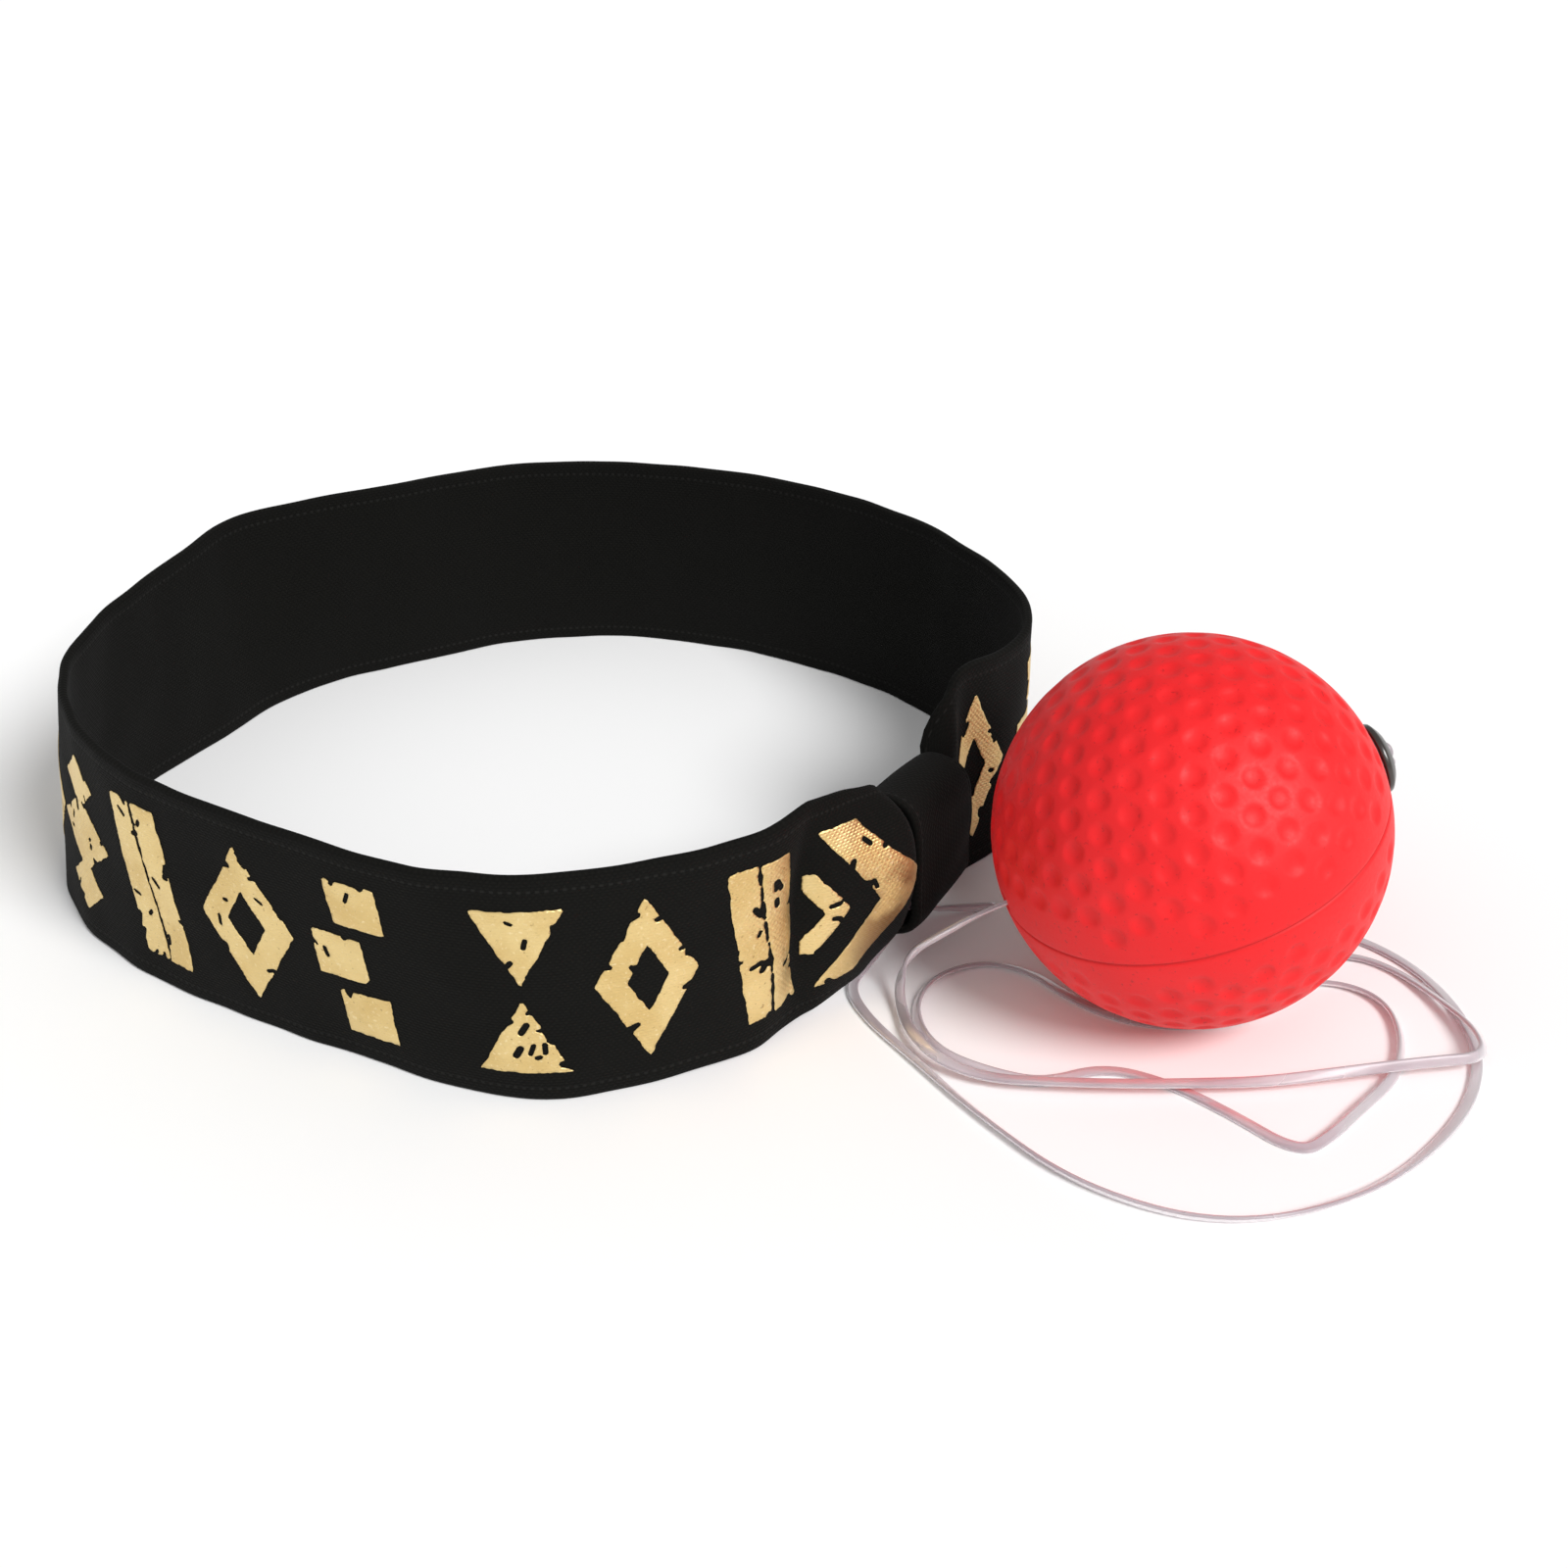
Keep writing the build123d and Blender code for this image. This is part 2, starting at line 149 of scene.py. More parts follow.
# ---------------- general helpers
def spline(knots, points, at):
    """A natural cubic spline through the points at the knots, read at every value of at."""
    knots = np.asarray(knots, float)
    values = np.asarray(points, float).reshape(len(knots), -1)
    gaps = np.diff(knots)
    system = np.eye(len(knots))
    right = np.zeros_like(values)
    for i in range(1, len(knots) - 1):
        system[i, i - 1 : i + 2] = gaps[i - 1], 2 * (gaps[i - 1] + gaps[i]), gaps[i]
        right[i] = 6 * ((values[i + 1] - values[i]) / gaps[i] - (values[i] - values[i - 1]) / gaps[i - 1])
    bend = np.linalg.solve(system, right)
    at = np.asarray(at, float)
    i = np.clip(np.searchsorted(knots, at) - 1, 0, len(knots) - 2)
    gap = gaps[i][:, None]
    before = (knots[i + 1] - at)[:, None] / gap
    after = 1 - before
    curve = before * values[i] + after * values[i + 1]
    curve += ((before**3 - before) * bend[i] + (after**3 - after) * bend[i + 1]) * gap**2 / 6
    return curve.reshape((len(at),) + np.shape(points)[1:])


def normalized(vectors):
    return vectors / np.linalg.norm(vectors, axis=-1, keepdims=True)


def waist_point(along, outward, up):
    """A point given along the waist, outward of it and up from the floor."""
    point = waist_centre + waist_axis * along + waist_out * outward
    return (point.x, point.y, up)


def distances_along(points):
    """How far each point is along the line through all of them."""
    return np.concatenate([[0], np.cumsum(np.linalg.norm(np.diff(points, axis=0), axis=1))])


def ring_faces(rings, count, closed=False):
    """Faces from each ring of count points to the next, and from the last to the first if closed."""
    faces = []
    for i in range(rings if closed else rings - 1):
        m = (i + 1) % rings
        for j in range(count):
            k = (j + 1) % count
            faces.append((i * count + j, m * count + j, m * count + k, i * count + k))
    return faces


def add_object(name, data):
    """An object with that data in the scene."""
    added = bpy.data.objects.new(name, data)
    bpy.context.scene.collection.objects.link(added)
    return added


def mesh_piece(name, vertices, faces, material, body="headband"):
    """A smooth-shaded mesh object from vertices in millimetres, riding on a body."""
    mesh = bpy.data.meshes.new(name)
    mesh.from_pydata([Vector(vertex) * MM for vertex in vertices], [], faces)
    mesh.validate()
    mesh.polygons.foreach_set("use_smooth", [True] * len(mesh.polygons))
    piece = add_object(name, mesh)
    piece.data.materials.append(material)
    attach(piece, body)
    return piece


def face_outward(piece):
    """Turns the normals of a closed mesh outward."""
    bm = bmesh.new()
    bm.from_mesh(piece.data)
    bmesh.ops.recalc_face_normals(bm, faces=bm.faces)
    bm.to_mesh(piece.data)
    bm.free()


def add_attribute(piece, name, values):
    """Writes one number per vertex, for a material to read."""
    layer = piece.data.attributes.new(name, "FLOAT", "POINT")
    layer.data.foreach_set("value", np.asarray(values, np.float32))


def set_uv(piece, pairs):
    """Writes one UV pair per vertex, in metres, to the piece's faces."""
    layer = piece.data.uv_layers.new(name="weave")
    corners = np.zeros(len(piece.data.loops), int)
    piece.data.loops.foreach_get("vertex_index", corners)
    layer.data.foreach_set("uv", (np.asarray(pairs, float)[corners] * MM).astype(np.float32).ravel())


# ---------------- material helpers
def new_material(name, color, roughness, **inputs):
    """A material with its Principled shader; returns the material, its node tree and the shader."""
    material = bpy.data.materials.new(name)
    material.use_nodes = True
    tree = material.node_tree
    shader = tree.nodes["Principled BSDF"]
    shader.inputs["Base Color"].default_value = (*color, 1)
    shader.inputs["Roughness"].default_value = roughness
    for key, value in inputs.items():
        shader.inputs[key.replace("_", " ")].default_value = value
    material.diffuse_color = (*color, 1)
    return material, tree, shader


def add_node(tree, kind, inputs=(), **settings):
    """A node with its settings, and its inputs given as {name or index: value or socket}."""
    node = tree.nodes.new(kind)
    for key, value in settings.items():
        setattr(node, key, value)
    for key, value in dict(inputs).items():
        if isinstance(value, bpy.types.NodeSocket):
            tree.links.new(value, node.inputs[key])
        else:
            node.inputs[key].default_value = value
    return node


def math_node(tree, operation, *values):
    return add_node(tree, "ShaderNodeMath", enumerate(values), operation=operation).outputs[0]


def mix_color(tree, factor, first, second):
    """A colour between two, the first a socket or three numbers and the second three numbers."""
    if not isinstance(first, bpy.types.NodeSocket):
        first = (*first, 1)
    inputs = {"Factor": factor, 6: first, 7: (*second, 1)}
    return add_node(tree, "ShaderNodeMix", inputs, data_type="RGBA").outputs[2]


def noise_node(tree, scale, detail):
    place = add_node(tree, "ShaderNodeTexCoord").outputs["Object"]
    inputs = {"Scale": scale, "Detail": detail, "Vector": place}
    return add_node(tree, "ShaderNodeTexNoise", inputs).outputs["Fac"]


def ramp(tree, value, low, high):
    """The value spread from 0 at low to 1 at high."""
    inputs = {"Value": value, "From Min": low, "From Max": high}
    return add_node(tree, "ShaderNodeMapRange", inputs, interpolation_type="SMOOTHSTEP").outputs["Result"]


def weave_height(tree):
    """Fine ribs along the webbing, each a row of stitches offset from the next.

    Returns the height, and the places along the webbing and across it."""
    uv = add_node(tree, "ShaderNodeUVMap", uv_map="weave").outputs["UV"]
    parts = add_node(tree, "ShaderNodeSeparateXYZ", {0: uv})
    rib_pitch = 0.00052
    stitch_pitch = 0.0009
    row = math_node(tree, "DIVIDE", parts.outputs["Y"], rib_pitch)
    rib = math_node(tree, "ABSOLUTE", math_node(tree, "SINE", math_node(tree, "MULTIPLY", row, math.pi)))
    shift = math_node(tree, "MULTIPLY", math_node(tree, "FLOOR", row), math.pi)
    run = math_node(tree, "MULTIPLY", parts.outputs["X"], 2 * math.pi / stitch_pitch)
    stitch = math_node(tree, "SINE", math_node(tree, "ADD", run, shift))
    height = math_node(tree, "MULTIPLY", rib, math_node(tree, "MULTIPLY_ADD", stitch, 0.35, 0.65))
    return height, parts.outputs["X"], parts.outputs["Y"]


def bump(tree, shader, height, strength, distance):
    node = add_node(tree, "ShaderNodeBump", {"Height": height, "Strength": strength, "Distance": distance})
    tree.links.new(node.outputs["Normal"], shader.inputs["Normal"])


# ---------------- materials
def webbing_material(name, width, selvedge):
    """Black elastic webbing: woven ribs, fibre, painted shade in the weave's valleys and a line of paler
    stitch dots along both edges.
    """
    dot_pitch = 0.0013
    material, tree, shader = new_material(
        name, (0.004, 0.004, 0.0036), 0.85, Sheen_Weight=0.015, Sheen_Roughness=0.5, Specular_IOR_Level=0.1
    )
    height, along, across = weave_height(tree)
    fibre = noise_node(tree, 2600.0, 3.0)
    mottle = noise_node(tree, 55.0, 2.0)
    folded = math_node(tree, "MINIMUM", across, math_node(tree, "SUBTRACT", width, across))
    from_line = math_node(tree, "ABSOLUTE", math_node(tree, "SUBTRACT", folded, selvedge))
    line = ramp(tree, from_line, 0.00032, 0.00012)
    dot = math_node(tree, "SINE", math_node(tree, "MULTIPLY", along, 2 * math.pi / dot_pitch))
    dots = math_node(tree, "MULTIPLY", line, ramp(tree, dot, -0.2, 0.5))
    # painted shade: the weave's valleys are painted darker than its ridges; the fibre noise adds random tone
    fibre_and_valley_shade = math_node(tree, "MULTIPLY_ADD", fibre, 0.7, math_node(tree, "MULTIPLY", height, 0.45))
    color = mix_color(tree, fibre_and_valley_shade, (0.0008, 0.0008, 0.0006), (0.0072, 0.007, 0.0058))
    color = mix_color(tree, ramp(tree, mottle, 0.5, 0.95), color, (0.0048, 0.0047, 0.0041))
    color = mix_color(tree, math_node(tree, "MULTIPLY", dots, 0.45), color, (0.022, 0.0215, 0.02))
    tree.links.new(color, shader.inputs["Base Color"])
    relief = math_node(tree, "ADD", height, math_node(tree, "MULTIPLY", fibre, 0.5))
    relief = math_node(tree, "SUBTRACT", relief, math_node(tree, "MULTIPLY", line, 0.7))
    bump(tree, shader, relief, 0.6, 0.00014)
    return material


def foil_material():
    """Pale gold transfer foil following the weave, with dark pinholes and painted shade browner on the fold.
    """
    material, tree, shader = new_material("gold_foil", (0.78, 0.58, 0.25), 0.45, Metallic=0.8)
    height, _, _ = weave_height(tree)
    grain = noise_node(tree, 1500.0, 3.0)
    patches = noise_node(tree, 120.0, 3.0)
    color = mix_color(tree, ramp(tree, patches, 0.35, 0.7), (0.82, 0.63, 0.29), (0.72, 0.52, 0.21))
    color = mix_color(tree, ramp(tree, grain, 0.56, 0.78), color, (0.90, 0.74, 0.42))
    color = mix_color(tree, ramp(tree, grain, 0.36, 0.24), color, (0.45, 0.29, 0.11))
    # painted shade: the foil on the strap's fold is mixed towards brown, where the fold keeps it in shade
    fold_shade = add_node(tree, "ShaderNodeAttribute", attribute_name="fold_shade").outputs["Fac"]
    fold_shade_patchy = math_node(tree, "MULTIPLY", fold_shade, ramp(tree, patches, 0.62, 0.42))
    color = mix_color(tree, fold_shade_patchy, color, (0.34, 0.19, 0.07))
    tree.links.new(color, shader.inputs["Base Color"])
    tree.links.new(math_node(tree, "MULTIPLY_ADD", grain, 0.35, 0.25), shader.inputs["Roughness"])
    relief = math_node(tree, "ADD", math_node(tree, "MULTIPLY", height, 0.6), grain)
    bump(tree, shader, relief, 0.55, 0.00018)
    return material


def ball_material():
    """Red moulded foam: matte skin with fine pores, slightly uneven colour and painted shade in its parting
    groove.
    """
    material, tree, shader = new_material(
        "red_foam", (0.80, 0.009, 0.012), 0.5, Specular_IOR_Level=0.36, Sheen_Weight=0.02,
        Subsurface_Weight=0.04, Subsurface_Scale=0.001
    )
    shader.inputs["Subsurface Radius"].default_value = (1.0, 0.25, 0.2)
    pores = noise_node(tree, 1500.0, 4.0)
    cloud = noise_node(tree, 38.0, 3.0)
    groove_shade = add_node(tree, "ShaderNodeAttribute", attribute_name="groove").outputs["Fac"]
    color = mix_color(tree, ramp(tree, cloud, 0.35, 0.68), (0.77, 0.007, 0.010), (0.85, 0.011, 0.014))
    color = mix_color(tree, ramp(tree, pores, 0.4, 0.26), color, (0.58, 0.006, 0.009))
    # painted shade: the foam is darkened along its parting groove
    color = mix_color(tree, groove_shade, color, (0.42, 0.004, 0.006))
    tree.links.new(color, shader.inputs["Base Color"])
    tree.links.new(math_node(tree, "MULTIPLY_ADD", pores, 0.25, 0.42), shader.inputs["Roughness"])
    bump(tree, shader, pores, 0.22, 0.00012)
    return material


def cord_material():
    """Clear elastic with a milky, faintly pink body, and painted shade greying it along its two edges."""
    material, tree, shader = new_material(
        "clear_elastic", (0.74, 0.66, 0.69), 0.28, Transmission_Weight=0.5, IOR=1.42, Specular_IOR_Level=0.5
    )
    haze = noise_node(tree, 70.0, 2.0)
    edge = add_node(tree, "ShaderNodeAttribute", attribute_name="edge").outputs["Fac"]
    color = mix_color(tree, ramp(tree, haze, 0.35, 0.7), (0.76, 0.70, 0.73), (0.64, 0.545, 0.59))
    # painted shade: the cord's colour is greyed towards its two edges
    color = mix_color(tree, math_node(tree, "MULTIPLY", edge, 0.6), color, (0.42, 0.36, 0.40))
    tree.links.new(color, shader.inputs["Base Color"])
    tree.links.new(math_node(tree, "MULTIPLY_ADD", haze, 0.2, 0.2), shader.inputs["Roughness"])
    return material


def stopper_material():
    """Near-black glossy plastic with faint moulding swirls."""
    material, tree, shader = new_material(
        "stopper_gloss", (0.022, 0.017, 0.013), 0.26, Specular_IOR_Level=0.6, Coat_Weight=0.25
    )
    swirl = noise_node(tree, 420.0, 3.0)
    color = mix_color(tree, swirl, (0.012, 0.010, 0.008), (0.04, 0.031, 0.024))
    tree.links.new(color, shader.inputs["Base Color"])
    tree.links.new(math_node(tree, "MULTIPLY_ADD", swirl, 0.2, 0.2), shader.inputs["Roughness"])
    bump(tree, shader, swirl, 0.1, 0.0001)
    return material


def thread_material():
    """Black sewing thread with its twist."""
    material, tree, shader = new_material("black_thread", (0.012, 0.012, 0.012), 0.6, Sheen_Weight=0.2)
    twist = noise_node(tree, 3200.0, 2.0)
    color = mix_color(tree, twist, (0.006, 0.006, 0.006), (0.035, 0.034, 0.033))
    tree.links.new(color, shader.inputs["Base Color"])
    bump(tree, shader, twist, 0.5, 0.0001)
    return material


def floor_material():
    """Plain pale matte floor."""
    material, _, _ = new_material("pale_floor", (0.97, 0.97, 0.97), 0.9, Specular_IOR_Level=0.1)
    return material


# ---------------- webbing: a band with rounded edges
edge_rounding = 0.55
edge_angles = [math.radians(angle) for angle in (-90, -50, 0, 50, 90)]
strap_softness = 0.5
wrap_softness = 0.45


def band_surface(sections, step, v_values):
    """The band's middle surface through its sections, read every step along it and at v_values across it.

    Returns the places along it, its points, its normals and where the sections lie along it."""
    sections = np.asarray(sections, float)
    middles = sections[:, sections.shape[1] // 2]
    knots = distances_along(middles)
    places = np.linspace(0, knots[-1], int(knots[-1] / step) + 1)
    rails = spline(knots, sections, places)
    rail_v = np.linspace(0, 1, sections.shape[1])

    def across(v_list):
        return np.swapaxes(spline(rail_v, np.swapaxes(rails, 0, 1), v_list), 0, 1)

    v_values = np.asarray(v_values, float)
    nudge = 0.004
    points = across(v_values)
    widthways = across(np.clip(v_values + nudge, 0, 1)) - across(np.clip(v_values - nudge, 0, 1))
    lengthways = np.gradient(points, axis=0)
    return places, points, normalized(np.cross(widthways, lengthways)), knots


def band_rows(width, rows):
    """The closed outline of a band's section: (share of the width, side), from -1, inner, to 1, outer."""
    rounding = edge_rounding / width
    lower = [(rounding * (1 - math.cos(angle)), math.sin(angle)) for angle in edge_angles]
    face = [rounding + (1 - 2 * rounding) * i / rows for i in range(1, rows)]
    upper = [(1 - share, -side) for share, side in lower]
    return lower + [(share, 1) for share in face] + upper + [(share, -1) for share in reversed(face)]


def crumple(places, shares, width, amount):
    """How far soft webbing stands off its middle surface, at each place along it and share of its width."""
    rows = []
    for place in places:
        spots = [Vector((place * 0.11, share * width * 0.09, 3.7)) for share in shares]
        rows.append([amount * noise.noise(spot) for spot in spots])
    return np.array(rows)


def band_piece(name, sections, width, thickness, step, rows, material, softness):
    """A closed band of webbing through the sections, and its length.

    The thickness is a function of the place along the band and of where the sections lie."""
    outline = band_rows(width, rows)
    shares = [share for share, _ in outline]
    sides = np.array([side for _, side in outline], float)
    places, points, normals, knots = band_surface(sections, step, shares)
    thick = np.array([thickness(place, knots) for place in places])
    lift = crumple(places, shares, width, softness) + sides[None, :] * thick[:, None] / 2
    shifted = points + normals * lift[:, :, None]
    count = len(outline)
    faces = ring_faces(len(places), count)
    for end in (0, (len(places) - 1) * count):
        for j in range(count // 2 - 1):
            faces.append((end + j + 1, end + j + 2, end + (-j - 1) % count, end + (-j) % count))
    piece = mesh_piece(name, shifted.reshape(-1, 3), faces, material)
    set_uv(piece, [(place, share * width) for place in places for share in shares])
    face_outward(piece)
    return piece, places[-1]


def plan_sections():
    """The strap's five-point sections along its plan, with the lean of its edges."""
    plan = np.array([(x, y) for x, y, _, _ in strap_plan])
    tangents = normalized(np.gradient(plan, axis=0))
    sections = []
    for (x, y, low, high), (along_x, along_y) in zip(strap_plan, tangents):
        rows = []
        for i in range(5):
            share = i / 4
            lean = low + (high - low) * share
            rows.append((x - along_y * lean, y + along_x * lean, strap_height * share))
        sections.append(rows)
    return sections


def strap_sections():
    """The strap's sections from its left end in the wrap, round the plan, to its right end in the wrap."""
    left = [[waist_point(*point) for point in section] for section in left_fold]
    right = [[waist_point(*point) for point in section] for section in right_fold]
    return left + plan_sections() + right


def strap_thickness_at(place, knots):
    """Thicker where the webbing is folded inside the wrap, up to the second section from each end."""
    folded = 2.8
    from_left = max(0.0, min(1.0, (place - knots[1]) / (knots[2] - knots[1])))
    from_right = max(0.0, min(1.0, (knots[-2] - place) / (knots[-2] - knots[-3])))
    inside = 1 - min(from_left, from_right)
    return strap_thickness + (folded - strap_thickness) * inside


def build_strap(material):
    piece, length = band_piece(
        "strap_webbing", strap_sections(), strap_height, strap_thickness_at, 1.0, 34, material,
        strap_softness
    )
    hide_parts("headband_strap")


# ---------------- gold print: worn, plain geometric motifs
def polygon_distance(x, z, polygon):
    """Signed distance of points to a polygon's outline, positive inside."""
    nearest = np.full(x.shape, 1e9)
    inside = np.zeros(x.shape, bool)
    for (ax, az), (bx, bz) in zip(polygon, polygon[1:] + polygon[:1]):
        ex, ez = bx - ax, bz - az
        share = np.clip(((x - ax) * ex + (z - az) * ez) / (ex * ex + ez * ez), 0, 1)
        nearest = np.minimum(nearest, np.hypot(x - ax - share * ex, z - az - share * ez))
        crosses = (az > z) != (bz > z)
        inside ^= crosses & (x < ax + (z - az) / (ez if ez else 1e-9) * ex)
    return np.where(inside, nearest, -nearest)


def slashes(width, height):
    """Two leaning bars."""
    bar = width * 0.36
    lean = width * 0.24
    first = [(0, 0), (bar, 0), (bar + lean, height), (lean, height)]
    return [first, [(x + width - bar - lean, z) for x, z in first]], []


def diamond_frame(width, height):
    """A lozenge with a lozenge hole."""
    middle = (width / 2, height / 2)
    outer = [(0, middle[1]), (middle[0], 0), (width, middle[1]), (middle[0], height)]
    hole = [(middle[0] + (x - middle[0]) * 0.4, middle[1] + (z - middle[1]) * 0.42) for x, z in outer]
    return [outer], [hole]


def arrows(width, height):
    """Two arrowheads one behind the other, pointing along the strap."""
    bar = width * 0.4
    tip = width * 0.55
    first = [(tip, 0), (tip + bar, 0), (bar, height / 2)]
    first += [(tip + bar, height), (tip, height), (0, height / 2)]
    second = [(bar + tip * 0.5 + x * 0.5, height * 0.25 + z * 0.5) for x, z in first]
    return [first, second], []


def facing_triangles(width, height):
    """Two solid triangles, one on each edge, tips towards each other with a gap."""
    gap = height * 0.05
    lower = [(0, 0), (width, 0), (width / 2, height / 2 - gap)]
    upper = [(x, height - z) for x, z in lower]
    return [lower, upper], []


def stacked_lozenges(width, height):
    """A large lozenge with a small one above and below."""
    middle = width / 2
    small = height * 0.17
    large = (height / 2, middle, height * 0.24)
    lozenges = []
    for z, across, up in (large, (small, width * 0.3, small), (height - small, width * 0.3, small)):
        lozenges.append([(middle - across, z), (middle, z - up), (middle + across, z), (middle, z + up)])
    return lozenges, []


def stepped_block(width, height):
    """Three leaning bricks, each set over from the one below."""
    brick = height * 0.28
    long = width * 0.66
    lean = width * 0.06
    bricks = []
    for i, shift in enumerate((0.0, 0.28, 0.0)):
        base = i * height * 0.36
        top = base + brick
        left = width * shift
        bricks.append([(left, base), (left + long, base), (left + long + lean, top), (left + lean, top)])
    return bricks, []


# one repeat of the print: how far each motif starts from the plan's left end, its width and its shape
print_repeat = [
    (-31.5, 20.0, arrows), (-8.5, 14.0, slashes), (10.1, 16.0, diamond_frame),
    (29.6, 14.0, facing_triangles), (57.1, 13.5, stepped_block), (74.6, 18.0, diamond_frame),
    (97.1, 14.0, slashes), (115.4, 18.0, stacked_lozenges),
]
repeat_length = 166.2
print_height = 29.0
print_base = (strap_height - print_height) / 2
cell = 0.42


def motif_field(shape, width, seed):
    """How far inside the worn motif each grid point is: its shape less ragged edges and scratches."""
    draw = random.Random(seed)
    polygons, holes = shape(width, print_height)
    margin = 1.2
    worn_back = 0.05
    marks = 17
    edge_marks = 5
    xs = np.arange(-margin, width + margin, cell)
    zs = np.arange(-margin, print_height + margin, cell)
    x, z = np.meshgrid(xs, zs, indexing="ij")
    field = np.max([polygon_distance(x, z, polygon) for polygon in polygons], axis=0)
    for hole in holes:
        field = np.minimum(field, -polygon_distance(x, z, hole))
    ragged = np.zeros(x.shape)
    for depth, pace in ((0.22, 0.5), (0.16, 1.6)):
        ragged += [[depth * noise.noise(Vector((a * pace, b * pace, seed))) for b in zs] for a in xs]
    field = field + ragged - worn_back
    for mark in range(marks):
        if mark < edge_marks:
            outline = draw.choice(polygons)
            i = draw.randrange(len(outline))
            share = draw.uniform(0.15, 0.85)
            ax, az = outline[i]
            bx, bz = outline[(i + 1) % len(outline)]
            cx, cz = ax + (bx - ax) * share, az + (bz - az) * share
        else:
            cx, cz = draw.uniform(0.5, width - 0.5), draw.uniform(1, print_height - 1)
        turn = draw.uniform(0, math.pi)
        reach = draw.uniform(0.25, 1.0)
        radius = draw.uniform(0.3, 0.58)
        dx, dz = math.cos(turn) * reach, math.sin(turn) * reach
        share = np.clip(((x - cx) * dx + (z - cz) * dz) / (dx * dx + dz * dz), -1, 1)
        away = np.hypot(x - cx - share * dx, z - cz - share * dz)
        field = np.minimum(field, away - radius)
    return xs, zs, field


def trace(xs, zs, field):
    """The area where the field is positive, as a mesh in the plane: points and faces."""
    points, faces, index = [], [], {}

    def corner(i, k):
        if (i, k) not in index:
            index[i, k] = len(points)
            points.append((xs[i], zs[k]))
        return index[i, k]

    def crossing(a, b):
        key = (min(a, b), max(a, b))
        if key not in index:
            (i, k), (m, n) = key
            share = field[i, k] / (field[i, k] - field[m, n])
            share = min(0.9, max(0.1, share))
            index[key] = len(points)
            points.append((xs[i] + (xs[m] - xs[i]) * share, zs[k] + (zs[n] - zs[k]) * share))
        return index[key]

    for i in range(len(xs) - 1):
        for k in range(len(zs) - 1):
            ring = [(i, k), (i + 1, k), (i + 1, k + 1), (i, k + 1)]
            if max(field[place] for place in ring) <= 0:
                continue
            face = []
            for a, b in zip(ring, ring[1:] + ring[:1]):
                if field[a] > 0:
                    face.append(corner(*a))
                if (field[a] > 0) != (field[b] > 0):
                    face.append(crossing(a, b))
            if len(face) > 2:
                faces.append(face)
    return points, faces


def print_places(plan_start, last):
    """Where each motif starts along the strap, how wide it is and its shape."""
    repeats = 3
    least_width = 8
    places = []
    for repeat in range(repeats):
        for start, width, shape in print_repeat:
            place = plan_start + repeat * repeat_length + start
            if place + least_width < last:
                places.append((place, min(width, last - place), shape))
    return places


def build_print(material):
    """The foil motifs on the strap's outer face, as one piece of thin closed patches."""
    grid_v = np.linspace(0, 1, 121)
    grid_step = 0.8
    film_outside = 0.14
    overrun = 0.8
    places, points, normals, knots = band_surface(strap_sections(), grid_step, grid_v)
    step = places[1] - places[0]
    thick = np.array([strap_thickness_at(place, knots) for place in places])
    lift = thick[:, None] / 2 + crumple(places, grid_v, strap_height, strap_softness) + film_outside
    outer = points + normals * lift[:, :, None]
    plan_start = knots[len(left_fold)]
    right_end = knots[-len(right_fold)] + overrun
    # the foil near this fold gets painted shade: it is browned in the foil material
    crease_middle = knots[5]
    crease_reach = 9.0
    vertices, faces, uv, fold_shade = [], [], [], []
    for seed, (start, width, shape) in enumerate(print_places(plan_start, right_end)):
        flat, cells = trace(*motif_field(shape, width, seed))
        base = len(vertices)
        for x, z in flat:
            along = min(max((start + x) / step, 0), len(places) - 1.001)
            up = min(max((print_base + z) / strap_height * (len(grid_v) - 1), 0), len(grid_v) - 1.001)
            i, j = int(along), int(up)
            a, b = along - i, up - j
            low = outer[i, j] * (1 - a) + outer[i + 1, j] * a
            high = outer[i, j + 1] * (1 - a) + outer[i + 1, j + 1] * a
            vertices.append(low * (1 - b) + high * b)
            uv.append((start + x, print_base + z))
            # painted shade weight: 1 at the fold's middle, falling to 0 within crease_reach of it
            fold_shade.append(max(0.0, 1 - ((start + x - crease_middle) / crease_reach) ** 2))
        faces += [tuple(base + k for k in face) for face in cells]
    piece = mesh_piece("foil_motifs", vertices, faces, material)
    set_uv(piece, uv)
    add_attribute(piece, "fold_shade", fold_shade)
    halfway = len(places) // 2, len(grid_v) // 2
    outward = Vector(normals[halfway])
    middle = Vector(points[halfway]) * MM
    nearest = min(piece.data.polygons, key=lambda face: (face.center - middle).length)
    if nearest.normal.dot(outward) < 0:
        piece.data.flip_normals()
    film = piece.modifiers.new("film", "SOLIDIFY")
    film.thickness = 0.1 * MM
    film.offset = -1
    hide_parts("foil_print")


# ---------------- the wrap and its seam
def build_wrap(material):
    """A short band wound round the pinched strap, its seam underneath parted round the cord's knot."""
    # (along the waist, share of the section's width, of its height over the middle, of its seam's gap)
    stations = [
        (-10.0, 0.98, 0.84, 0.2), (-5.5, 1.01, 0.81, 0.4), (0.0, 1.02, 0.77, 1.0),
        (5.5, 1.01, 0.72, 0.6), (10.0, 0.95, 0.67, 0.2),
    ]
    sections = []
    for out, up in wrap_section:
        at_seam = (out, up) in (wrap_section[0], wrap_section[-1])
        row = []
        for along, width, rise, parting in stations:
            height = up * (rise if up > 0 else width)
            outward = out * (parting if at_seam else width)
            row.append(waist_point(along, outward, waist_centre.z + height))
        sections.append(row)
    piece, length = band_piece(
        "wrap_webbing", sections, wrap_width, lambda place, knots: strap_thickness, 0.8, 22, material,
        wrap_softness
    )
    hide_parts("knot_wrap")


